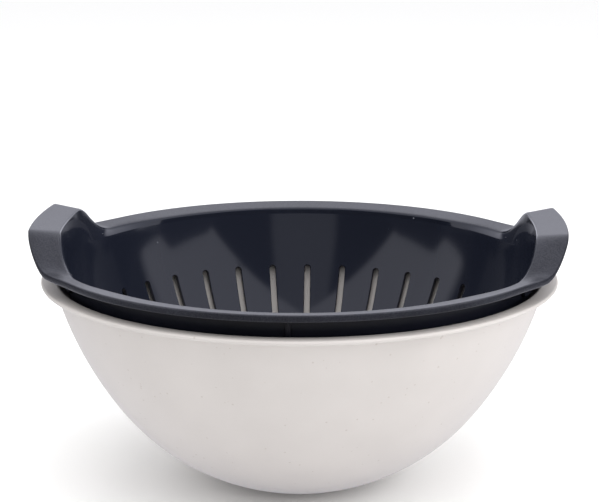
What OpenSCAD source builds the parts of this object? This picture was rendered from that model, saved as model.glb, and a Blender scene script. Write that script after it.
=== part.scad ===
// Colander with bowl. A slotted plastic colander stands on its foot ring inside a round
// mixing bowl. Four lugs and two ribs under its rim keep it in the middle of the mouth.
// Lengths are in millimetres and angles in degrees. The origin is the middle of the bowl's
// base, +Z is up, and the two handles lie along X.

/* [Bowl] */
// Height of the bowl from the table to the top of its lip
bowl_h = 103; // [95:1:108]
// Wall thickness of the bowl
bowl_wall = 2.2; // [1.6:0.1:2.6]
// Outer radius of the lip
bowl_lip_r = 125; // [122:0.5:130]
// Thickness of the lip
bowl_lip_t = 2; // [1.6:0.1:3]
// Outer radius of the wall at the neck, just under the lip
bowl_neck_r = 117.9; // [117:0.1:119.5]
// Depth of the neck below the top of the lip
bowl_neck_drop = 5; // [4:0.5:6]
// Lean of the wall at the neck, from upright
bowl_lean = 15.4; // [14:0.2:16]
// Radius of the upper arc of the wall
bowl_upper_arc = 170; // [165:1:180]
// Lean of the wall where the lower arc takes over
bowl_turn = 38.3; // [36:0.5:40]
// Radius of the lower arc of the wall
bowl_lower_arc = 111.5; // [110:0.5:114]
// Radius of the recess under the base
bowl_recess_r = 24; // [16:1:28]
// Depth of the recess under the base
bowl_recess_h = 0.6; // [0.3:0.1:1]

/* [Colander wall] */
// Height of the colander from the foot to the outer edge of the rim
colander_h = 107.7; // [106:0.1:112]
// Wall thickness of the colander
colander_wall = 2.2; // [1.6:0.1:2.6]
// Gap between the outer face at the neck, just under the rim, and the bowl's inner face at its own
neck_gap = 1.7; // [1.3:0.1:3]
// Depth of the neck below the outer edge of the rim
neck_drop = 5.2; // [4.6:0.1:6]
// Lean of the wall at the neck
neck_lean = 6.7; // [6:0.1:8]
// Height above the foot where the lower arc of the wall takes over
waist_h = 26.6; // [22:0.2:32]
// Gap between the wall and the bowl at that height, measured level
waist_gap = 4.6; // [3.6:0.1:7]
// Gap between the edge of the floor and the bowl, measured level
floor_gap = 9.6; // [9:0.1:11]
// Outer radius of the foot ring
foot_r = 42; // [38:0.5:43]
// Thickness of the foot ring
foot_t = 2; // [1.5:0.1:3]
// Height of the foot ring
foot_h = 6.2; // [4:0.1:7]
// Half angle of the gap in the foot ring, at its lower edge
foot_gap = 33; // [25:1:40]
// Half angle of the gap in the foot ring, at its root
foot_gap_root = 15; // [8:1:20]

/* [Rim and handles] */
// Outer radius of the rim
rim_r = 123.8; // [120:0.2:127]
// Rise of the rim from its inner edge to its outer edge
rim_rise = 2; // [1:0.1:3]
// Thickness of the rim
rim_t = 1.8; // [1.4:0.1:2.2]
// Height of the lip turned down round the rim
lip_h = 3.2; // [2.8:0.1:4]
// Thickness of that lip
lip_t = 2; // [1.4:0.1:2.4]
// Height of a handle above the rim
handle_h = 15.5; // [10:0.5:22]
// Half length of the level top of a handle
handle_top = 32; // [26:0.5:36]
// Half length of a handle at its foot
handle_foot = 52; // [48:0.5:58]
// Reach of the outer edge of a handle from the middle of the colander
handle_x = 128.2; // [126:0.2:131]
// Reach of the inner edge of a handle from the middle of the colander
scoop_x = 113.2; // [112.4:0.1:114]
// How far the edges of a handle bow outward between the ends of its level top
handle_bow = 2; // [0:0.1:3]
// How far the outer edge of the rim widens at the foot of a handle
handle_spread = 3.4; // [0:0.2:4]
// How far the inner edge of the rim widens at the foot of a handle
scoop_spread = 3.2; // [0:0.2:4]

/* [Slots] */
// Number of slots in a row
slot_count = 34; // [24:1:36]
// Width of a slot
slot_w = 3.2; // [2.4:0.1:3.8]
// Depth of the top of the upper slots below the rim
slot_top = 33.6; // [28:0.2:40]
// Depth of the bottom of the upper slots below the rim
slot_mid = 74.6; // [68:0.2:76]
// Bridge left between the upper and the lower slots, measured in height
slot_bridge = 4; // [3:0.2:8]
// Depth of the bottom of the lower slots below the rim
slot_low = 96.6; // [90:0.2:98]
// Number of slots in the floor
floor_slots = 17; // [10:1:18]
// Radius where the floor slots begin
floor_slot_in = 15; // [13:0.5:20]
// Radius where the floor slots end
floor_slot_out = 36; // [30:0.5:36]

/* [Lugs and ribs] */
// Angle from the middle of a handle to the middle of a lug
lug_angle = 17.8; // [14:0.2:22]
// Width of a lug
lug_w = 24; // [16:0.5:28]
// Drop of a lug below the lip of the rim
lug_drop = 9; // [8.6:0.1:10]
// How far a lug stands out from the neck at its top
lug_reach = 1.8; // [1.2:0.1:2]
// How much smaller that radius is at the lower edge
lug_draft = 1.2; // [0.6:0.1:1.6]
// Radius of the lower corners of a lug
lug_corner = 4.5; // [2:0.5:6]
// Width of a centring rib at its root
rib_w = 2.8; // [2:0.1:4]
// Width of a centring rib at its tip
rib_tip_w = 1.8; // [1.2:0.1:2]
// Drop of a centring rib below the lip of the rim
rib_drop = 9.8; // [9:0.1:11]

/* [Fit] */
// Gap between the foot of the colander and the bowl
seat_gap = 0.3; // [0.2:0.05:0.5]
// Roundness of the exact curves in a preview
curve_steps = 180; // [60:12:360]

/* [Hidden] */
$fn = curve_steps;

// Length by which a cut runs past what it cuts
over = 1;
// How far the swept rim laps over the wall below it, and stands proud of it
lap = 1.2;
proud = 0.12;
// Rounding of the outer and inner edges of the rim
edge_round = 0.9;
inner_round = 0.7;
// Angle between the sections of the rim, near a handle and elsewhere
fine_step = 1.25;
coarse_step = 3.75;
// Half angle of the stretch with the fine sections
fine_span = 33.75;
// Half angles where the widening of an edge begins to die away, and has gone
outer_spread_full = 21;
outer_spread_none = 37;
inner_spread_full = 27;
inner_spread_none = 52;
// Shares of the handle's slope that are rounded off at its top and at its foot
top_fold_share = 0.3;
outer_fold_share = 0.4;
inner_fold_share = 0.22;
// Share of the widening of an edge that is rounded off at each end
spread_fold_share = 0.5;
// Share of an edge's rounding at which the middle of its bend lies
bend_share = 0.3;
// Share of the wall's thickness that a centring rib is sunk into
rib_root_share = 0.25;
// Roundness of the small circles
small_steps = curve_steps / 4;

// Centres of the two arcs of a wall, as points of radius and height
function upper_centre(r, z, lean, arc) = [r - arc * cos(lean), z + arc * sin(lean)];
function lower_centre(c, arc, low, turn) = c + (arc - low) * [cos(turn), -sin(turn)];

bowl_neck_z = bowl_h - bowl_neck_drop;
bowl_c1 = upper_centre(bowl_neck_r, bowl_neck_z, bowl_lean, bowl_upper_arc);
bowl_c2 = lower_centre(bowl_c1, bowl_upper_arc, bowl_lower_arc, bowl_turn);

// The foot ring stands on the curved inner face of the bowl
bowl_inner_arc = bowl_lower_arc - bowl_wall;
bowl_floor_z = bowl_wall + bowl_recess_h;
foot_z = max(bowl_floor_z, bowl_c2[1] - sqrt(bowl_inner_arc ^ 2 - (foot_r - bowl_c2[0]) ^ 2)) + seat_gap;
rim_z = foot_z + colander_h;
floor_z = foot_z + foot_h;
neck_z = rim_z - neck_drop;
waist_z = foot_z + waist_h;
neck_r = bowl_neck_r - bowl_wall - neck_gap;
inner_r = neck_r - colander_wall;
lug_r = neck_r + lug_reach;
lip_z = rim_z - lip_h;

// Radius at a height of a face that follows one arc, and the other below its turn
function two_arc_r(z, turn_z, c1, arc, c2, low) = z > turn_z
    ? c1[0] + sqrt(arc ^ 2 - (c1[1] - z) ^ 2)
    : c2[0] + sqrt(low ^ 2 - (c2[1] - z) ^ 2);

// Radius of the bowl's inner face at a height
bowl_turn_z = bowl_c1[1] - (bowl_upper_arc - bowl_wall) * sin(bowl_turn);
function bowl_inner_r(z) =
    two_arc_r(z, bowl_turn_z, bowl_c1, bowl_upper_arc - bowl_wall, bowl_c2, bowl_inner_arc);

// The colander's wall runs from the neck through the waist to the edge of the floor, and its
// places there follow the bowl's inner face
neck = [neck_r, neck_z];
waist = [bowl_inner_r(waist_z) - waist_gap, waist_z];
floor_edge = [bowl_inner_r(floor_z) - floor_gap, floor_z];
function arc_between(p, lean, q) = norm(p - q) ^ 2 / (2 * (p - q) * [cos(lean), -sin(lean)]);
upper_arc = arc_between(neck, neck_lean, waist);
wall_c1 = upper_centre(neck_r, neck_z, neck_lean, upper_arc);
arc_turn = asin((wall_c1[1] - waist_z) / upper_arc);
lower_arc = arc_between(waist, arc_turn, floor_edge);
wall_c2 = lower_centre(wall_c1, upper_arc, lower_arc, arc_turn);
function face_r(z) = two_arc_r(z, waist_z, wall_c1, upper_arc, wall_c2, lower_arc);

// The half plane section inside a two arc wall, drawn in by an inset, between two heights
module arc_section(c1, arc, c2, low, turn, inset, top, bottom) {
    join_z = c1[1] - (arc - inset) * sin(turn);
    reach = arc + abs(c1[0]);
    intersection() {
        translate(c1) circle(arc - inset);
        translate([0, join_z]) square([reach, top - join_z]);
    }
    intersection() {
        translate(c2) circle(low - inset);
        translate([0, bottom]) square([reach, join_z - bottom]);
    }
}

module bowl_section(inset, top, bottom) {
    arc_section(bowl_c1, bowl_upper_arc, bowl_c2, bowl_lower_arc, bowl_turn, inset, top, bottom);
}

module wall_section(inset, top, bottom) {
    arc_section(wall_c1, upper_arc, wall_c2, lower_arc, arc_turn, inset, top, bottom);
}

// The bowl is one moulded shell: a wall of two arcs, a flat lip and a recessed base
module bowl() {
    edge = bowl_lip_t / 2;
    color("#ddd8d5") difference() {
        rotate_extrude() {
            bowl_section(0, bowl_h, 0);
            translate([bowl_neck_r - bowl_wall, bowl_h - bowl_lip_t])
                square([bowl_lip_r - edge - bowl_neck_r + bowl_wall, bowl_lip_t]);
            translate([bowl_lip_r - edge, bowl_h - edge]) circle(edge, $fn = small_steps);
        }
        rotate_extrude() bowl_section(bowl_wall, bowl_h + over, bowl_floor_z);
        translate([0, 0, -over]) cylinder(r = bowl_recess_r, h = bowl_recess_h + over);
    }
}

// A slope that starts and ends with a rounded fold, from 0 to 1 as u goes from 0 to 1
function fold(u, a, b) =
    let (v = min(max(u, 0), 1), k = 1 / (1 - (a + b) / 2))
    v < a ? k * v * v / (2 * a) : v > 1 - b ? 1 - k * (1 - v) ^ 2 / (2 * b) : k * (v - a / 2);

// Share of the full height of a handle at a distance from its middle
function lift_share(y, foot_share) =
    fold((handle_foot - abs(y)) / (handle_foot - handle_top), foot_share, top_fold_share);

// Angle from the middle of the nearer handle, 0 to 90
function from_handle(a) = let (b = a % 180) min(b, 180 - b);
function spread_share(a, full, none) =
    fold((none - from_handle(a)) / (none - full), spread_fold_share, spread_fold_share);

// Radius at an angle of an edge that follows a circle, and a slightly bowed line in a handle
function bowed_r(reach, a) = (reach - handle_bow * (reach * sin(a) / handle_top) ^ 2) / abs(cos(a));
function edge_r(circle_r, reach, a, share) =
    circle_r * (1 - share) + (share > 0 ? bowed_r(reach, a) * share : 0);

// One cross section of the rim at an angle, as points in space. In the handles both edges
// rise and leave the circle for a nearly straight line.
function rim_section(a) =
    let (
        in_share = lift_share(scoop_x * sin(a), inner_fold_share),
        out_share = lift_share(handle_x * sin(a), outer_fold_share),
        in_wide = scoop_spread * spread_share(a, inner_spread_full, inner_spread_none),
        out_wide = handle_spread * spread_share(a, outer_spread_full, outer_spread_none),
        r_in = edge_r(inner_r + in_wide, scoop_x, a, in_share),
        r_out = edge_r(rim_r + out_wide, handle_x, a, out_share),
        z_in = rim_z - rim_rise + handle_h * in_share,
        z_out = rim_z + handle_h * out_share,
        z_base = neck_z - lap,
        base_in = face_r(z_base) - colander_wall - proud,
        base_out = face_r(z_base) + proud,
        points = [
            [base_in, z_base],
            [(base_in + r_in) / 2 - proud, (z_base + z_in) / 2],
            [r_in, z_in - inner_round],
            [r_in + inner_round * bend_share, z_in - inner_round * bend_share],
            [r_in + inner_round, z_in + rim_rise * inner_round / (r_out - r_in)],
            [r_out - edge_round, z_out],
            [r_out - edge_round * bend_share, z_out - edge_round * bend_share],
            [r_out, z_out - edge_round],
            [r_out, z_out - lip_h],
            [r_out - lip_t, z_out - lip_h],
            [r_out - lip_t, z_out - rim_t - rim_rise * lip_t / (r_out - r_in)],
            [r_in + colander_wall, z_in - rim_t + rim_rise * colander_wall / (r_out - r_in)],
            [base_out, z_base]
        ]
    )
    [for (p = points) [p[0] * cos(a), p[0] * sin(a), p[1]]];

// Angles of the sections, close together near the handles
function handle_angles(middle) =
    [for (a = [-fine_span:fine_step:fine_span - fine_step]) middle + a];
function side_angles(middle) =
    let (half = 90 - fine_span)
    [for (a = [-half:coarse_step:half - coarse_step]) middle + a];
rim_angles = concat(handle_angles(0), side_angles(90), handle_angles(180), side_angles(270));

// The rim and both handles, swept as one closed band
module rim() {
    sections = [for (a = rim_angles) rim_section(a)];
    n = len(sections);
    m = len(sections[0]);
    faces = [
        for (i = [0:n - 1], j = [0:m - 1])
            let (a = i * m + j, b = i * m + (j + 1) % m)
            let (c = (i + 1) % n * m + (j + 1) % m, d = (i + 1) % n * m + j)
            each [[a, c, b], [a, d, c]]
    ];
    polyhedron([for (s = sections, p = s) p], faces);
}

// A slot outline along X, with round ends
module slot_outline(length) {
    half = length / 2 - slot_w / 2;
    square([2 * half, slot_w], center = true);
    translate([half, 0]) circle(d = slot_w, $fn = small_steps);
    translate([-half, 0]) circle(d = slot_w, $fn = small_steps);
}

// One row of slots cut square to the wall, between two depths below the rim
module slot_row(top, bottom) {
    p = [face_r(rim_z - top), rim_z - top];
    q = [face_r(rim_z - bottom), rim_z - bottom];
    chord = norm(p - q);
    lean = atan2(p[1] - q[1], p[0] - q[0]);
    middle = (p + q) / 2;
    sagitta = chord ^ 2 / (8 * lower_arc);
    depth = colander_wall + sagitta + over;
    for (i = [0:slot_count - 1])
        rotate([0, 0, 90 + i * 360 / slot_count])
            translate([middle[0], 0, middle[1]])
                rotate([0, -lean, 0])
                    linear_extrude(2 * depth, center = true) slot_outline(chord);
}

// Slots in the flat floor, inside the foot ring
module floor_slot_ring() {
    for (i = [0:floor_slots - 1])
        rotate([0, 0, 90 + i * 360 / floor_slots])
            translate([(floor_slot_in + floor_slot_out) / 2, 0, floor_z - over])
                linear_extrude(colander_wall + 2 * over) slot_outline(floor_slot_out - floor_slot_in);
}

// The slotted wall and floor below the rim
module slotted_wall() {
    difference() {
        rotate_extrude() difference() {
            wall_section(0, neck_z, floor_z);
            wall_section(colander_wall, neck_z + over, floor_z + colander_wall);
        }
        slot_row(slot_top, slot_mid);
        slot_row(slot_mid + slot_bridge, slot_low);
        floor_slot_ring();
    }
}

// The foot ring, open at the front and the back
module foot() {
    low = foot_r * sin(foot_gap);
    root = foot_r * sin(foot_gap_root);
    difference() {
        translate([0, 0, foot_z]) cylinder(r = foot_r, h = foot_h + colander_wall / 2);
        translate([0, 0, foot_z - over])
            cylinder(r = foot_r - foot_t, h = foot_h + colander_wall + 2 * over);
        rotate([90, 0, 0])
            linear_extrude(2 * foot_r + 2 * over, center = true)
                polygon([[-low, foot_z], [low, foot_z], [root, floor_z], [-root, floor_z]]);
    }
}

// A lug under the rim beside a handle, with round lower corners
module lug(angle) {
    low = lip_z - lug_drop;
    top = rim_z - rim_rise - rim_t / 2;
    half = lug_w / 2;
    rotate([0, 0, angle]) intersection() {
        rotate_extrude() polygon([
            [face_r(low) - colander_wall / 2, low], [lug_r - lug_draft, low],
            [lug_r, top], [neck_r, top]
        ]);
        rotate([90, 0, 90]) linear_extrude(lug_r + over) {
            translate([-half, low + lug_corner]) square([lug_w, top - low]);
            translate([lug_corner - half, low]) square([lug_w - 2 * lug_corner, top - low]);
            for (side = [-1, 1])
                translate([side * (half - lug_corner), low + lug_corner])
                    circle(lug_corner, $fn = small_steps);
        }
    }
}

// A tapered centring rib under the rim
module rib(angle) {
    low = lip_z - rib_drop;
    top = rim_z - rim_rise - rim_t / 2;
    root = face_r(low) - colander_wall * rib_root_share;
    rotate([0, 0, angle]) translate([root, 0, 0])
        rotate([90, 0, 90]) linear_extrude(lug_r - root) {
            polygon([
                [-rib_w / 2, top], [-rib_tip_w / 2, low + rib_tip_w / 2],
                [rib_tip_w / 2, low + rib_tip_w / 2], [rib_w / 2, top]
            ]);
            translate([0, low + rib_tip_w / 2]) circle(d = rib_tip_w, $fn = small_steps);
        }
}

// The colander is one moulding: slotted wall, foot, rim with both handles, lugs and ribs
module colander() {
    color("#2d2f3a") {
        slotted_wall();
        rim();
        foot();
        for (side = [0, 180], turn = [-lug_angle, lug_angle]) lug(side + turn);
        for (side = [90, 270]) rib(side);
    }
}

bowl();
colander();
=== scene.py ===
import math

import bpy
from mathutils import Matrix, Vector


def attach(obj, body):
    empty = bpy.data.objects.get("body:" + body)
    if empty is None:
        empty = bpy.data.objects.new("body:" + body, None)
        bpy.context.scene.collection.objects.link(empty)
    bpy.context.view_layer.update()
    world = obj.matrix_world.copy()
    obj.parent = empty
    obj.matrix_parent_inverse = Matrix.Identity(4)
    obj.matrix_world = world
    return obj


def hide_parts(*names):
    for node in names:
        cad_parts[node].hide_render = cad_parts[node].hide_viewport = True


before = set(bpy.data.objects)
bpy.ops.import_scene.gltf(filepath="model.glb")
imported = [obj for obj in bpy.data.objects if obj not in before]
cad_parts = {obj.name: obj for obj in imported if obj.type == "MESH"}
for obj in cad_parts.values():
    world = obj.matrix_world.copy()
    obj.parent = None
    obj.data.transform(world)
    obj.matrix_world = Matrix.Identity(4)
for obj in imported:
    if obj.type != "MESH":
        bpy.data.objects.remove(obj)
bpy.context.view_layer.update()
mm = 0.001

# Mixing bowl
# One injection moulding in off-white polypropylene filled with fine dark plant flecks. Its
# wall is two arcs that run into a flat turned-out lip, and it stands on a small flat base.

bowl_h = 103 * mm
bowl_wall = 2.2 * mm
bowl_lip_r = 125 * mm
bowl_lip_t = 2 * mm
bowl_neck_r = 117.9 * mm
bowl_neck_drop = 5 * mm
bowl_lean = math.radians(15.4)
bowl_upper_arc = 170 * mm
bowl_turn = math.radians(38.3)
bowl_lower_arc = 111.5 * mm
bowl_recess_r = 24 * mm
bowl_recess_h = 0.6 * mm
bowl_recess_edge = bowl_recess_h * 0.9
bowl_base_edge = 0.8 * mm
bowl_lip_fillet = 1.6 * mm
bowl_mouth_fillet = bowl_lip_fillet * 1.4
bowl_floor_ease = bowl_recess_h / 4
bowl_mouth_ease = bowl_lip_fillet / 3
bowl_under_ease = bowl_lip_fillet / 4
bowl_floor_rings = [2 * mm, 9 * mm, 18 * mm, 26 * mm]
bowl_under_rings = [15 * mm, 8 * mm, 2 * mm]
bowl_steps = 288
lip_steps, mouth_steps, under_steps = 8, 6, 5
arc_pitch = 4 * mm
smooth_angle = math.radians(40)


def arc(centre, radius, start, stop):
    """Points of radius and height on an arc, from one lean off upright to another."""
    count = max(2, round(radius * abs(stop - start) / arc_pitch))
    leans = [start + (stop - start) * i / count for i in range(count + 1)]
    return [(centre[0] + radius * math.cos(a), centre[1] - radius * math.sin(a)) for a in leans]


def lean_at(centre, radius, height):
    """The lean of an arc where it crosses a height."""
    return math.asin((centre[1] - height) / radius)


def wall_arcs(neck_r, neck_z, lean, upper, turn, lower):
    """Centres of the two arcs of a wall."""
    one = (neck_r - upper * math.cos(lean), neck_z + upper * math.sin(lean))
    two = (one[0] + (upper - lower) * math.cos(turn), one[1] - (upper - lower) * math.sin(turn))
    return one, two


def corner(point, before, after, radius, count=4):
    """A rounded corner at a point, between the directions to the points before and after."""
    p, a, b = Vector(point), Vector(before), Vector(after)
    to_a, to_b = (a - p).normalized(), (b - p).normalized()
    half = to_a.angle(to_b) / 2
    reach = min(radius / math.tan(half), (a - p).length / 2, (b - p).length / 2)
    start, stop = p + to_a * reach, p + to_b * reach
    points = []
    for i in range(count + 1):
        t = i / count
        points.append(tuple(start.lerp(p, t).lerp(p.lerp(stop, t), t)))
    return points


def raise_tube(name, rings, steps):
    """A tube of plain rings one unit apart, to be shaped ring by ring."""
    bpy.ops.object.select_all(action="DESELECT")
    bpy.ops.mesh.primitive_circle_add(vertices=steps, radius=1, fill_type="NOTHING")
    tube = bpy.context.object
    tube.name = tube.data.name = name
    bpy.ops.object.mode_set(mode="EDIT")
    for _ in range(rings - 1):
        bpy.ops.mesh.extrude_region_move(TRANSFORM_OT_translate={"value": (0, 0, 1)})
    bpy.ops.object.mode_set(mode="OBJECT")
    return tube


def close_ends(tube, rings):
    """Fills the first and the last ring of a tube."""
    bpy.ops.object.mode_set(mode="EDIT")
    bpy.ops.mesh.select_mode(type="VERT")
    for end in (0, rings - 1):
        bpy.ops.mesh.select_all(action="DESELECT")
        bpy.ops.object.mode_set(mode="OBJECT")
        for v in tube.data.vertices:
            v.select = round(v.co.z) == end
        bpy.ops.object.mode_set(mode="EDIT")
        bpy.ops.mesh.edge_face_add()
    bpy.ops.mesh.select_all(action="SELECT")
    bpy.ops.mesh.normals_make_consistent(inside=False)
    bpy.ops.object.mode_set(mode="OBJECT")


bowl_neck_z = bowl_h - bowl_neck_drop
bowl_one, bowl_two = wall_arcs(
    bowl_neck_r, bowl_neck_z, bowl_lean, bowl_upper_arc, bowl_turn, bowl_lower_arc)


def bowl_profile():
    """Half section of the bowl: up the inside, over the lip and down the outside."""
    floor_z = bowl_wall + bowl_recess_h
    in_upper, in_lower = bowl_upper_arc - bowl_wall, bowl_lower_arc - bowl_wall
    mouth = lean_at(bowl_one, in_upper, bowl_h - bowl_lip_fillet)
    floor_lean = lean_at(bowl_two, in_lower, floor_z + bowl_floor_ease)
    neck = lean_at(bowl_one, bowl_upper_arc, bowl_h - bowl_lip_t - bowl_lip_fillet)
    base_lean = lean_at(bowl_two, bowl_lower_arc, bowl_base_edge)
    inside = arc(bowl_two, in_lower, floor_lean, bowl_turn)
    inside += arc(bowl_one, in_upper, bowl_turn, mouth)[1:]
    outside = arc(bowl_one, bowl_upper_arc, neck, bowl_turn)
    outside += arc(bowl_two, bowl_lower_arc, bowl_turn, base_lean)[1:]
    under_z = bowl_h - bowl_lip_t
    edge = bowl_lip_t / 2
    edge_r = bowl_lip_r - edge
    top_in = (inside[-1][0] + bowl_mouth_ease, bowl_h)
    under_lip = (outside[0][0] + bowl_under_ease, under_z)
    base_edge = (outside[-1][0] - bowl_base_edge, 0)
    points = [(r, floor_z) for r in bowl_floor_rings] + inside[:-1]
    points += corner(top_in, inside[-2], (edge_r, bowl_h), bowl_mouth_fillet, mouth_steps)
    for i in range(lip_steps + 1):
        turn = math.pi / 2 - math.pi * i / lip_steps
        points.append((edge_r + edge * math.cos(turn), bowl_h - edge + edge * math.sin(turn)))
    points += corner(under_lip, (edge_r, under_z), outside[1], bowl_lip_fillet, under_steps)
    points += outside[1:]
    points += corner(base_edge, outside[-1], (bowl_recess_r, 0), bowl_base_edge)[1:]
    points += [(bowl_recess_r + bowl_recess_h, 0), (bowl_recess_r, bowl_recess_edge)]
    points.append((bowl_recess_r - bowl_recess_h, bowl_recess_h))
    return points + [(r, bowl_recess_h) for r in bowl_under_rings]


section = bowl_profile()
bowl = raise_tube("mixing_bowl", len(section), bowl_steps)
close_ends(bowl, len(section))
for v in bowl.data.vertices:
    r, z = section[round(v.co.z)]
    turn = math.atan2(v.co.y, v.co.x)
    v.co = (r * math.cos(turn), r * math.sin(turn), z)


def finish_mesh(piece):
    """Turns the faces outward and smooths all but the sharp edges."""
    bpy.ops.object.select_all(action="DESELECT")
    bpy.context.view_layer.objects.active = piece
    piece.select_set(True)
    bpy.ops.object.mode_set(mode="EDIT")
    bpy.ops.mesh.select_all(action="SELECT")
    bpy.ops.mesh.normals_make_consistent(inside=False)
    bpy.ops.object.mode_set(mode="OBJECT")
    bpy.ops.object.shade_smooth_by_angle(angle=smooth_angle)


finish_mesh(bowl)


def linear(hex_colour):
    """The linear colour that a shader takes, from an sRGB hex value."""
    parts = [int(hex_colour[i:i + 2], 16) / 255 for i in (1, 3, 5)]
    return tuple(c / 12.92 if c <= 0.04045 else ((c + 0.055) / 1.055) ** 2.4 for c in parts) + (1,)


def add_node(tree, kind, inputs=None, **settings):
    """Adds a shader node with its settings, values and links."""
    node = tree.nodes.new("ShaderNode" + kind)
    for name, value in settings.items():
        setattr(node, name, value)
    for name, value in (inputs or {}).items():
        if isinstance(value, bpy.types.NodeSocket):
            tree.links.new(value, node.inputs[name])
        else:
            node.inputs[name].default_value = value
    return node


def calc(tree, operation, *values):
    """The result of one sum with sockets or numbers."""
    return add_node(tree, "Math", dict(enumerate(values)), operation=operation).outputs[0]


def between(tree, value, band, results=(0, 1)):
    """Where a value lies in a band, as a number between two results."""
    inputs = {"Value": value, "From Min": band[0], "From Max": band[1],
              "To Min": results[0], "To Max": results[1]}
    return add_node(tree, "MapRange", inputs).outputs["Result"]


def plastic(name, ior=1.5):
    """An empty material with its shader and the object's own coordinates."""
    material = bpy.data.materials.new(name)
    material.use_nodes = True
    tree = material.node_tree
    shader = tree.nodes["Principled BSDF"]
    shader.inputs["IOR"].default_value = ior
    place = add_node(tree, "TexCoord").outputs["Object"]
    return material, tree, shader, place


def noise(tree, place, scale, detail):
    """Cloudy noise, from about 0.3 to 0.7."""
    inputs = {"Vector": place, "Scale": scale, "Detail": detail}
    return add_node(tree, "TexNoise", inputs).outputs["Fac"]


def tones(tree, value, low, high):
    """A colour between two, each given with the value that it stands at."""
    node = add_node(tree, "ValToRGB", {"Fac": value})
    for element, (position, colour) in zip(node.color_ramp.elements, (low, high)):
        element.position = position
        element.color = linear(colour)
    return node.outputs["Color"]


def specks(tree, place, scale, patch, band, radius):
    """A mask of scattered round specks. They grow with a patchy noise to a share of a cell."""
    cells = add_node(tree, "TexVoronoi", {"Vector": place, "Scale": scale})
    size = between(tree, patch, band, (0, radius))
    return calc(tree, "LESS_THAN", cells.outputs["Distance"], size)


def speckled(tree, mask, base, colour):
    """A base colour with specks of another colour."""
    mix = {0: mask, 6: base, 7: linear(colour)}
    return add_node(tree, "Mix", mix, data_type="RGBA").outputs[2]


def roughen(tree, shader, height, strength, depth):
    """Gives a shader a bump."""
    bump = add_node(tree, "Bump", {"Height": height, "Strength": strength, "Distance": depth})
    tree.links.new(bump.outputs["Normal"], shader.inputs["Normal"])


def flecked_polypropylene():
    """Matte off-white polypropylene with plant fibre: small brown-grey flecks, a faint mottle."""
    material, tree, shader, place = plastic("flecked_polypropylene", ior=1.49)
    mottle = noise(tree, place, scale=28, detail=3)
    base = tones(tree, mottle, (0.35, "#bdb8b5"), (0.7, "#c2bdba"))
    patch = noise(tree, place, scale=90, detail=1)
    flecks = specks(tree, place, 260, patch, band=(0.46, 0.6), radius=0.13)
    tree.links.new(speckled(tree, flecks, base, "#b2aba6"), shader.inputs["Base Color"])
    tree.links.new(between(tree, mottle, (0, 1), (0.46, 0.56)), shader.inputs["Roughness"])
    roughen(tree, shader, noise(tree, place, scale=900, detail=2), strength=0.12, depth=0.05 * mm)
    return material


bowl.data.materials.append(flecked_polypropylene())
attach(bowl, "bowl")
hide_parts("bowl")

# Colander
# One injection moulding in dark blue-grey polypropylene, polished inside, satin outside and
# spark-grained on the rim. The rim folds up into a handle at each side, with ramps a little
# longer and softer than the part's. The foot ring stands just over the curve inside the bowl.

colander_h = 107.7 * mm
wall = 2.2 * mm
neck_r = 114 * mm
neck_drop = 5.2 * mm
neck_lean = math.radians(6.7)
upper_arc = 124.06 * mm
arc_turn = math.radians(46.76)
lower_arc = 112.92 * mm
foot_r = 42 * mm
foot_t = 2 * mm
foot_h = 6.2 * mm
foot_gap = math.radians(33)
foot_gap_root = math.radians(15)
rim_r = 123.8 * mm
rim_rise = 2 * mm
rim_t = 1.8 * mm
lip_h = 3.2 * mm
lip_t = 2 * mm
handle_h = 15.5 * mm
handle_x = 128.2 * mm
scoop_x = 113.2 * mm
handle_bow = 2 * mm
bow_reach = 32 * mm
outer_ramp = (30 * mm, 55 * mm)
inner_ramp = (25 * mm, 55 * mm)
handle_spread = 3.4 * mm
scoop_spread = 3.2 * mm
outer_spread = (math.radians(21), math.radians(37))
inner_spread = (math.radians(27), math.radians(52))
outer_folds, inner_folds = (0.4, 0.32), (0.4, 0.45)
spread_folds = (0.5, 0.5)
foot_z = 6.3 * mm
foot_root = 0.5 * mm
foot_tip = 0.6 * mm
foot_corner = 0.3
foot_cut_gap = 0.02 * mm
floor_rings = [2 * mm, 8 * mm, 15 * mm, 24 * mm, 33 * mm]
floor_edge_r = 41 * mm
floor_ease = 1 * mm
floor_fillet = 12 * mm
under_floor_ease = 0.5 * mm
under_floor_in = 0.2 * mm
under_floor_fillet = 1.2 * mm
under_floor_steps = 3
riser_steps = 7
riser_bend = 1.25
inner_round_h = 0.8 * mm
inner_flat = 1.2 * mm
rim_shares = (0.25, 0.42, 0.58, 0.74, 0.86)
lip_fillet = 0.5 * mm
lip_root_share = 0.95
under_shares = (0.66, 0.5, 0.36)
under_neck_share = 0.8
neck_fillet_out, neck_fillet_in = 0.6 * mm, 0.1 * mm
neck_fillet_share = 0.12
neck_shares = (0.8, 0.6, 0.4, 0.2)
# Rounded edges in mm: out and up from the riser's top, then back from the rim's edge and up.
inner_round = [(0.16, 0.36), (0.4, 0.62), (0.75, 0.8)]
outer_round = [(1.1, -0.18), (0.7, -0.15), (0.38, -0.24), (0.13, -0.46), (0, -0.8)]
lip_outline = [(0, -1.6), (0, -2.6), (0.12, -3), (0.4, -3.2), (1.5, -3.2), (1.85, -3), (2, -2.7)]
colander_steps = 400
handle_crowding = 0.4

rim_z = foot_z + colander_h
floor_z = foot_z + foot_h
neck_z = rim_z - neck_drop
inner_r = neck_r - wall
wall_one, wall_two = wall_arcs(neck_r, neck_z, neck_lean, upper_arc, arc_turn, lower_arc)


def fold(u, a, b):
    """A slope from 0 to 1 with a rounded fold at each end."""
    v = min(max(u, 0), 1)
    steep = 1 / (1 - (a + b) / 2)
    if v < a:
        return steep * v * v / (2 * a)
    if v > 1 - b:
        return 1 - steep * (1 - v) ** 2 / (2 * b)
    return steep * (v - a / 2)


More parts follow.
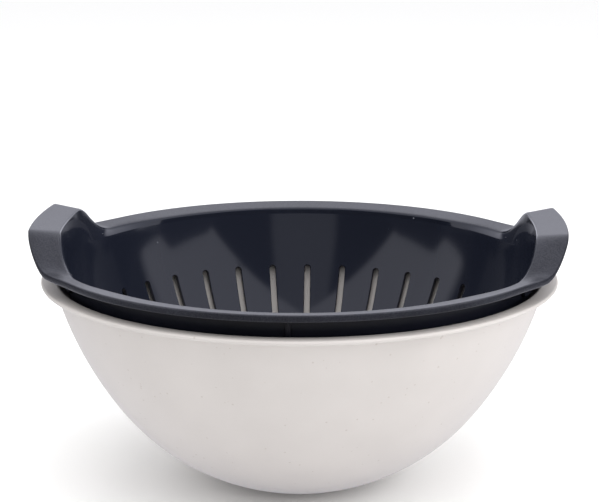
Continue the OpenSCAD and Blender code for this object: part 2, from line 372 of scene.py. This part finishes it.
def edge_moves(turn):
    """How far the rim's inner and outer edges move out and up at an angle round the colander."""
    from_handle = math.atan2(abs(math.sin(turn)), abs(math.cos(turn)))
    moves = []
    for plain, reach, (level, foot), folds, wide, (full, none) in (
        (inner_r, scoop_x, inner_ramp, inner_folds, scoop_spread, inner_spread),
        (rim_r, handle_x, outer_ramp, outer_folds, handle_spread, outer_spread),
    ):
        along = abs(reach * math.sin(turn))
        lift = fold((foot - along) / (foot - level), *folds)
        spread = wide * fold((none - from_handle) / (none - full), *spread_folds)
        bowed = reach - handle_bow * (along / bow_reach) ** 2
        line = bowed / abs(math.cos(turn)) if lift > 0 else 0
        moves.append(((plain + spread) * (1 - lift) + line * lift - plain, handle_h * lift))
    return moves


INSIDE, RIM, OUTSIDE = 0, 1, 2


def strip(pairs, finish, moved=0, outer=0):
    """Points of a section with the same movement and finish."""
    return [(r, z, moved, outer, finish) for r, z in pairs]


def colander_section():
    """Half section as points of radius, height, share of the rim's movement, share of the
    outer edge in it, and the finish of the strip that follows."""
    in_upper, in_lower = upper_arc - wall, lower_arc - wall
    floor_top = floor_z + wall
    floor_lean = lean_at(wall_two, in_lower, floor_top + floor_ease)
    low = arc(wall_two, in_lower, floor_lean, arc_turn)
    high = arc(wall_one, in_upper, arc_turn, lean_at(wall_one, in_upper, neck_z))
    floor_end = (low[0][0] - floor_ease, floor_top)
    bend = corner(floor_end, (floor_edge_r, floor_top), low[1], floor_fillet)
    points = strip([(r, floor_top) for r in floor_rings + [floor_edge_r]], INSIDE)
    points += strip(bend + low[2:] + high[1:], INSIDE)

    edge_z = rim_z - rim_rise
    span = rim_r - inner_r
    slope = rim_rise / span
    riser_top = edge_z - inner_round_h
    for i in range(1, riser_steps + 1):
        t = i / riser_steps
        points.append((inner_r, neck_z + (riser_top - neck_z) * t, t ** riser_bend, 0, INSIDE))
    rounded = [(inner_r + out * mm, riser_top + up * mm) for out, up in inner_round]
    rounded.append((inner_r + inner_flat, edge_z + inner_flat * slope))
    points += strip(rounded[:1], INSIDE, 1) + strip(rounded[1:], RIM, 1)
    for share in rim_shares:
        points.append((inner_r + span * share, edge_z + rim_rise * share, 1, share, RIM))
    edge = [(rim_r - back * mm, rim_z + up * mm) for back, up in outer_round + lip_outline]
    points += strip(edge, RIM, 1, 1)

    under = rim_z - rim_t
    lip_root = under - slope * lip_t
    points.append((rim_r - lip_t, lip_root - lip_fillet, 1, 1, RIM))
    points.append((rim_r - lip_t - lip_fillet, lip_root, 1, lip_root_share, RIM))
    for share in under_shares:
        points.append((inner_r + span * share, under - rim_rise * (1 - share), 1, share, RIM))
    under_neck = under - rim_rise * under_neck_share
    top_out = under_neck - lip_fillet
    points.append((neck_r + neck_fillet_out, under_neck, 1, neck_fillet_share, RIM))
    points.append((neck_r + neck_fillet_in, top_out, 1, 0, RIM))
    for share in neck_shares:
        points.append((neck_r, neck_z + (top_out - neck_z) * share, share, 0, OUTSIDE))

    floor_out = lean_at(wall_two, lower_arc, floor_z + under_floor_ease)
    outside = arc(wall_one, upper_arc, lean_at(wall_one, upper_arc, neck_z), arc_turn)
    last = arc(wall_two, lower_arc, arc_turn, floor_out)
    turned_in = (last[-1][0] - under_floor_in, floor_z)
    outside += last[1:-1]
    outside += corner(
        turned_in, last[-2], (foot_r, floor_z), under_floor_fillet, under_floor_steps)
    cut, tip_cut = foot_root * foot_corner, foot_tip * foot_corner
    ring = [(foot_r + foot_root, floor_z), (foot_r + cut, floor_z - cut),
            (foot_r, floor_z - foot_root), (foot_r, foot_z + foot_tip),
            (foot_r - tip_cut, foot_z + tip_cut), (foot_r - foot_tip, foot_z)]
    ring += [(2 * foot_r - foot_t - r, z) for r, z in reversed(ring)]
    underside = [(r, floor_z) for r in reversed(floor_rings)]
    return points + strip(outside + ring + underside, OUTSIDE)


def foot_cut(x):
    """Height of the foot ring's lower edge at a place across: it is cut away front and back."""
    low, root = foot_r * math.sin(foot_gap), foot_r * math.sin(foot_gap_root)
    share = min(max((low - abs(x)) / (low - root), 0), 1)
    return foot_z + (foot_h - foot_cut_gap) * share


section = colander_section()
colander = raise_tube("slotted_colander", len(section), colander_steps)
close_ends(colander, len(section))
for face in colander.data.polygons:
    ring = min(round(colander.data.vertices[v].co.z) for v in face.vertices)
    face.material_index = section[min(ring, len(section) - 1)][4]
for v in colander.data.vertices:
    r, z, moved, outer, _ = section[round(v.co.z)]
    even = math.atan2(v.co.y, v.co.x)
    turn = even - handle_crowding / 2 * math.sin(2 * even)
    (in_out, in_up), (out_out, out_up) = edge_moves(turn)
    r += moved * (in_out * (1 - outer) + out_out * outer)
    z += moved * (in_up * (1 - outer) + out_up * outer)
    if z < floor_z:
        z = max(z, foot_cut(r * math.cos(turn)))
    v.co = (r * math.cos(turn), r * math.sin(turn), z)
finish_mesh(colander)

# Lugs and centring ribs
# Moulded with the colander under its rim: two flat-faced lugs below each handle and a thin
# tapered rib at the front and the back. They keep the colander in the middle of the bowl.

lug_angle = math.radians(17.8)
lug_w = 24 * mm
lug_drop = 9 * mm
lug_r = 115.8 * mm
lug_draft = 1.2 * mm
lug_corner = 4.5 * mm
rib_w = 2.8 * mm
rib_tip_w = 1.8 * mm
rib_drop = 9.8 * mm
rib_corner = rib_tip_w * 0.7
corner_steps = 6
blank_t = 1 * mm
lug_columns, rib_columns = 12, 1
row_shares = (0.35, 0.7)
same_place = 0.01 * mm
bracket_edge = 0.35 * mm
bracket_edge_steps = 2
bracket_edge_angle = math.radians(50)
lug_top = rim_z - rim_rise - rim_t / 2


def face_r(z):
    """Radius of the colander's outer face at a height."""
    if z > wall_one[1] - upper_arc * math.sin(arc_turn):
        return wall_one[0] + math.sqrt(upper_arc ** 2 - (wall_one[1] - z) ** 2)
    return wall_two[0] + math.sqrt(lower_arc ** 2 - (wall_two[1] - z) ** 2)


def bracket(name, turn, width, tip_width, drop, round_r, columns):
    """A lug or rib: a cube with round lower corners, wrapped on to the wall at an angle."""
    low = rim_z - lip_h - drop
    height = lug_top - low
    bpy.ops.object.select_all(action="DESELECT")
    bpy.ops.mesh.primitive_cube_add(size=1)
    piece = bpy.context.object
    piece.name = piece.data.name = name
    piece.scale = (blank_t, width, height)
    bpy.ops.object.transform_apply(location=False, rotation=False, scale=True)
    bpy.ops.object.mode_set(mode="EDIT")
    bpy.ops.mesh.select_mode(type="EDGE")
    bpy.ops.mesh.select_all(action="DESELECT")
    bpy.ops.object.mode_set(mode="OBJECT")
    for edge in piece.data.edges:
        ends = [piece.data.vertices[i].co for i in edge.vertices]
        edge.select = all(e.z < 0 for e in ends) and abs(ends[0].y - ends[1].y) < same_place
    bpy.ops.object.mode_set(mode="EDIT")
    bpy.ops.mesh.bevel(offset=round_r, segments=corner_steps, affect="EDGES")
    for i in range(1, columns):
        bpy.ops.mesh.select_all(action="SELECT")
        bpy.ops.mesh.bisect(plane_co=(0, width * (i / columns - 0.5), 0), plane_no=(0, 1, 0))
    for share in row_shares:
        bpy.ops.mesh.select_all(action="SELECT")
        bpy.ops.mesh.bisect(plane_co=(0, 0, height * (share - 0.5)), plane_no=(0, 0, 1))
    bpy.ops.object.mode_set(mode="OBJECT")
    for v in piece.data.vertices:
        up = v.co.z / height + 0.5
        z = low + height * up
        narrow = tip_width / width + (1 - tip_width / width) * up
        outer = lug_r - lug_draft * (1 - up)
        root = face_r(min(z, neck_z)) - wall / 2
        r = outer if v.co.x > 0 else root
        a = turn + v.co.y * narrow / lug_r
        v.co = (r * math.cos(a), r * math.sin(a), z)
    edges = piece.modifiers.new("edges", "BEVEL")
    edges.width = bracket_edge
    edges.segments = bracket_edge_steps
    edges.limit_method = "ANGLE"
    edges.angle_limit = bracket_edge_angle
    bpy.ops.object.modifier_apply(modifier=edges.name)
    return piece


brackets = []
for side in (0, math.pi):
    for way in (-1, 1):
        lug_turn = side + way * lug_angle
        brackets.append(
            bracket("lug", lug_turn, lug_w, lug_w, lug_drop, lug_corner, lug_columns))
for side in (math.pi / 2, -math.pi / 2):
    brackets.append(bracket("rib", side, rib_w, rib_tip_w, rib_drop, rib_corner, rib_columns))

# Slots
# Straight drain slots with round ends, cut through the wall in two rows and through the floor
# in one. Each cutter widens at both faces, which leaves a small radius on the slot's edges.

slot_count = 34
slot_w = 3.2 * mm
slot_top = 33.6 * mm
slot_mid = 74.6 * mm
slot_bridge = 4 * mm
slot_low = 96.6 * mm
floor_slots = 17
floor_slot_in = 15 * mm
floor_slot_out = 36 * mm
slot_edge = 0.5 * mm
slot_overrun = 3 * mm
slot_steps = 40
slot_edge_leans = [math.radians(a) for a in (25, 50, 75, 90)]
merge_gap = 0.01 * mm
normal_weight = 100


def outer_face(along):
    """Point and outward lean of the outer face at an arc length below the neck."""
    first = upper_arc * (arc_turn - neck_lean)
    if along < first:
        lean = neck_lean + along / upper_arc
        centre, radius = wall_one, upper_arc
    else:
        lean = arc_turn + (along - first) / lower_arc
        centre, radius = wall_two, lower_arc
    return centre[0] + radius * math.cos(lean), centre[1] - radius * math.sin(lean), lean


def along_at(drop):
    """Arc length below the neck at a depth below the rim."""
    height = rim_z - drop
    if height > wall_one[1] - upper_arc * math.sin(arc_turn):
        return upper_arc * (lean_at(wall_one, upper_arc, height) - neck_lean)
    first = upper_arc * (arc_turn - neck_lean)
    return first + lower_arc * (lean_at(wall_two, lower_arc, height) - arc_turn)


def slot_layers():
    """Depth below the outer face and widening of the slot at each layer of its cutter."""
    edge = [(slot_edge * (1 - math.cos(a)), slot_edge * (1 - math.sin(a))) for a in slot_edge_leans]
    far = [(wall - d, e) for d, e in reversed(edge)]
    return [(-slot_overrun, edge[0][1])] + edge + far + [(wall + slot_overrun, edge[0][1])]


def slot_cutter(name, start, stop, on_wall):
    """A closed cutter for one slot, from one place to another along the wall or the floor."""
    layers = slot_layers()
    cutter = raise_tube(name, len(layers), slot_steps)
    close_ends(cutter, len(layers))
    middle, half = (start + stop) / 2, (stop - start) / 2
    for v in cutter.data.vertices:
        depth, wide = layers[round(v.co.z)]
        turn = math.atan2(v.co.y, v.co.x)
        radius = slot_w / 2 + wide
        straight = half - slot_w / 2
        if abs(v.co.x) > abs(v.co.y):
            bend = 2 * turn if v.co.x > 0 else 2 * math.atan2(v.co.y, -v.co.x)
            across = radius * math.sin(bend)
            along = middle + math.copysign(straight + radius * math.cos(bend), v.co.x)
        else:
            across = math.copysign(radius, v.co.y)
            along = middle + straight * (2 - abs(turn) / (math.pi / 4))
        if on_wall:
            r, z, lean = outer_face(along)
            v.co = (r - depth * math.cos(lean), across, z + depth * math.sin(lean))
        else:
            v.co = (along, across, floor_z + depth)
    finish_mesh(cutter)
    return cutter


def ring_of(cutter, count):
    """Copies of a cutter round the colander, the first one at the front."""
    copies = []
    for i in range(count):
        copy = cutter.copy()
        copy.data = cutter.data.copy()
        bpy.context.collection.objects.link(copy)
        copy.data.transform(Matrix.Rotation(-math.pi / 2 + 2 * math.pi * i / count, 4, "Z"))
        copies.append(copy)
    bpy.data.objects.remove(cutter)
    return copies


def joined(pieces, name):
    """One object from several."""
    bpy.ops.object.select_all(action="DESELECT")
    for piece in pieces:
        piece.select_set(True)
    bpy.context.view_layer.objects.active = pieces[0]
    bpy.ops.object.join()
    pieces[0].name = pieces[0].data.name = name
    return pieces[0]


wall_rows = (("upper_slot", slot_top, slot_mid), ("lower_slot", slot_mid + slot_bridge, slot_low))
cutters = []
for name, start, stop in wall_rows:
    cutters += ring_of(slot_cutter(name, along_at(start), along_at(stop), True), slot_count)
cutters += ring_of(slot_cutter("floor_slot", floor_slot_in, floor_slot_out, False), floor_slots)
cutter = joined(cutters, "slot_cutters")
addition = joined(brackets, "brackets")


def spark_grained():
    """Polypropylene off a spark-eroded mould face: matte, with a fine even grain."""
    material, tree, shader, place = plastic("spark_grained_polypropylene")
    tone = noise(tree, place, scale=60, detail=4)
    base = tones(tree, tone, (0.3, "#1d1e25"), (0.75, "#25262e"))
    tree.links.new(base, shader.inputs["Base Color"])
    roughen(tree, shader, noise(tree, place, scale=1100, detail=2), strength=0.6, depth=0.1 * mm)
    spark = noise(tree, place, scale=1900, detail=1)
    sheen = between(tree, spark, (0.35, 0.65), (0.34, 0.68))
    tree.links.new(sheen, shader.inputs["Specular IOR Level"])
    shader.inputs["Roughness"].default_value = 0.36
    return material


def polished():
    """Polypropylene off a polished core: dark and glossy, slightly wavy, with a little dust."""
    material, tree, shader, place = plastic("polished_polypropylene")
    patch = noise(tree, place, scale=26, detail=2)
    dust = specks(tree, place, 130, patch, band=(0.48, 0.85), radius=0.11)
    shade = speckled(tree, dust, linear("#1b1e29"), "#7c7f8a")
    tree.links.new(shade, shader.inputs["Base Color"])
    roughen(tree, shader, noise(tree, place, scale=45, detail=1), strength=0.25, depth=0.12 * mm)
    shader.inputs["Roughness"].default_value = 0.1
    return material


def satin():
    """Polypropylene off a brushed cavity: a soft sheen with faint cloudy flow marks."""
    material, tree, shader, place = plastic("satin_polypropylene")
    cloud = noise(tree, place, scale=22, detail=4)
    base = tones(tree, cloud, (0.3, "#12141e"), (0.75, "#181a26"))
    tree.links.new(base, shader.inputs["Base Color"])
    tree.links.new(between(tree, cloud, (0, 1), (0.3, 0.42)), shader.inputs["Roughness"])
    roughen(tree, shader, noise(tree, place, scale=700, detail=2), strength=0.1, depth=0.05 * mm)
    return material


for finish in (polished(), spark_grained(), satin()):
    colander.data.materials.append(finish)
for tool in (cutter, addition):
    for material in colander.data.materials:
        tool.data.materials.append(material)
    for face in tool.data.polygons:
        face.material_index = OUTSIDE


def carve(piece, tool, operation):
    """Joins or cuts a tool into a piece, and removes the tool."""
    bpy.ops.object.select_all(action="DESELECT")
    bpy.context.view_layer.objects.active = piece
    piece.select_set(True)
    step = piece.modifiers.new(tool.name, "BOOLEAN")
    step.object = tool
    step.operation = operation
    step.solver = "MANIFOLD"
    bpy.ops.object.modifier_apply(modifier=step.name)
    bpy.data.objects.remove(tool)


carve(colander, addition, "UNION")
carve(colander, cutter, "DIFFERENCE")
bpy.ops.object.mode_set(mode="EDIT")
bpy.ops.mesh.select_all(action="SELECT")
bpy.ops.mesh.remove_doubles(threshold=merge_gap)
bpy.ops.mesh.dissolve_degenerate(threshold=merge_gap)
bpy.ops.object.mode_set(mode="OBJECT")
bpy.ops.object.shade_smooth_by_angle(angle=smooth_angle)
normals = colander.modifiers.new("normals", "WEIGHTED_NORMAL")
normals.mode = "FACE_AREA"
normals.weight = normal_weight
normals.keep_sharp = True
bpy.ops.object.modifier_apply(modifier=normals.name)
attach(colander, "colander")
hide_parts("colander")

# Studio
# A pale floor under the set, a large soft light at each side and one above. The camera stands
# at the photograph's height and distance, and its lens takes in a little more for the lift.

floor_size = 12
bpy.ops.object.select_all(action="DESELECT")
bpy.ops.mesh.primitive_plane_add(size=floor_size)
ground = bpy.context.object
ground.name = "studio_floor"
ground_material, _, ground_shader, _ = plastic("pale_floor")
ground_shader.inputs["Base Color"].default_value = linear("#fbfbfb")
ground_shader.inputs["Roughness"].default_value = 0.9
ground.data.materials.append(ground_material)
ground.visible_glossy = False

light_aim = Vector((0, 0, 60 * mm))
softboxes = (
    ("left_light", (-1.15, -0.35, 0.62), (0.8, 1), 1),
    ("right_light", (1.15, -0.35, 0.62), (0.8, 1), 8),
    ("top_light", (0, -0.3, 1.5), (1.4, 1), 12),
)
for name, place, (width, height), power in softboxes:
    bpy.ops.object.select_all(action="DESELECT")
    bpy.ops.object.light_add(type="AREA", location=place)
    lamp = bpy.context.object
    lamp.name = name
    lamp.data.shape = "RECTANGLE"
    lamp.data.size, lamp.data.size_y = width, height
    lamp.data.energy = power
    lamp.visible_glossy = False
    lamp.rotation_euler = (light_aim - Vector(place)).to_track_quat("-Z", "Y").to_euler()

# The room that shows in the gloss is drawn in the world: bright panels in front, a bright
# floor and back, and dark flags beside the set. All other light from it is plain white. Most
# pairs below say where a surface starts and where it is full, along one axis of the ray.
panel_slope = 1.1
outer_panel = (1.3, 1.4)
inner_panel, inner_panel_light = (0.34, 0.28), 0.4
floor_line = (0, -0.05)
floor_fade, floor_light = (-0.4, -0.95), 0.7
back_fade = (-0.1, 0.25)
flag_side, flag_top = (0.26, 0.4), (0.45, 0.35)
flag_skirting = (-0.08, -0.14)
flag_foot = (-0.34, -0.26)
flag_rear = (0.06, 0.16)
room_light = (0.04, 1.1)
far_wall, far_gain = (0.3, 0.8), (1, 1.2)
room_colour = (0.88, 0.89, 1, 1)
nearly_zero = 0.001

world = bpy.data.worlds.new("studio")
bpy.context.scene.world = world
world.use_nodes = True
sky = world.node_tree
sky.nodes.clear()
way = add_node(sky, "SeparateXYZ", {"Vector": add_node(sky, "TexCoord").outputs["Generated"]})
way_x, way_y, way_z = way.outputs
sideways = calc(sky, "ABSOLUTE", way_x)
ahead = calc(sky, "MAXIMUM", calc(sky, "MULTIPLY", way_y, -1), nearly_zero)
aside = calc(sky, "DIVIDE", sideways, ahead)
above = calc(sky, "DIVIDE", way_z, ahead)
corner_line = calc(sky, "MULTIPLY_ADD", above, panel_slope, aside)
outer_glow = between(sky, corner_line, outer_panel)
inner_glow = between(sky, aside, inner_panel, (0, inner_panel_light))
panels = calc(sky, "MAXIMUM", outer_glow, inner_glow)
floor_glow = between(sky, way_z, floor_fade, (0, floor_light))
under = calc(sky, "MAXIMUM", floor_glow, between(sky, way_y, back_fade))
below = between(sky, way_z, floor_line)
lit = add_node(sky, "Mix", {0: below, 2: panels, 3: under}).outputs[0]
flag = calc(sky, "MULTIPLY", between(sky, way_z, flag_top), between(sky, sideways, flag_side))
flag = calc(sky, "MAXIMUM", flag, between(sky, way_z, flag_skirting))
flag = calc(sky, "MULTIPLY", flag, between(sky, way_z, flag_foot))
flag = calc(sky, "MULTIPLY", flag, between(sky, way_y, flag_rear))
lit = calc(sky, "MULTIPLY", lit, calc(sky, "SUBTRACT", 1, flag))
glow = between(sky, lit, (0, 1), room_light)
glow = calc(sky, "MULTIPLY", glow, between(sky, way_y, far_wall, far_gain))
room = add_node(sky, "Background", {"Color": room_colour, "Strength": glow})
white = add_node(sky, "Background", {"Color": (1, 1, 1, 1), "Strength": 1})
mirrored = add_node(sky, "LightPath").outputs["Is Glossy Ray"]
both = add_node(sky, "MixShader", {0: mirrored, 1: white.outputs[0], 2: room.outputs[0]})
add_node(sky, "OutputWorld", {"Surface": both.outputs[0]})

photo_w, photo_h = 599, 502
mm_per_px = 0.455 * mm
distance_px = 1750
fit_share = 0.93
lip_centre_px = 271
elevation = math.radians(13.6)
azimuth = math.radians(2.4)
sensor_w = 36
distance = distance_px * mm_per_px
level = math.cos(elevation)
lip_centre = Vector((0, 0, bowl_h))
back = Vector((math.sin(azimuth) * level, -math.cos(azimuth) * level, math.sin(elevation)))
bpy.ops.object.camera_add(location=lip_centre + back * distance)
camera = bpy.context.object
camera.name = "photo_camera"
camera.data.sensor_width = sensor_w
camera.data.lens = sensor_w * distance_px * fit_share / photo_w
tilt = math.atan((lip_centre_px - photo_h / 2) / (distance_px * fit_share))
camera.rotation_euler = (math.pi / 2 - elevation + tilt, 0, azimuth)
bpy.context.scene.camera = camera
bpy.context.scene.view_settings.view_transform = "Standard"
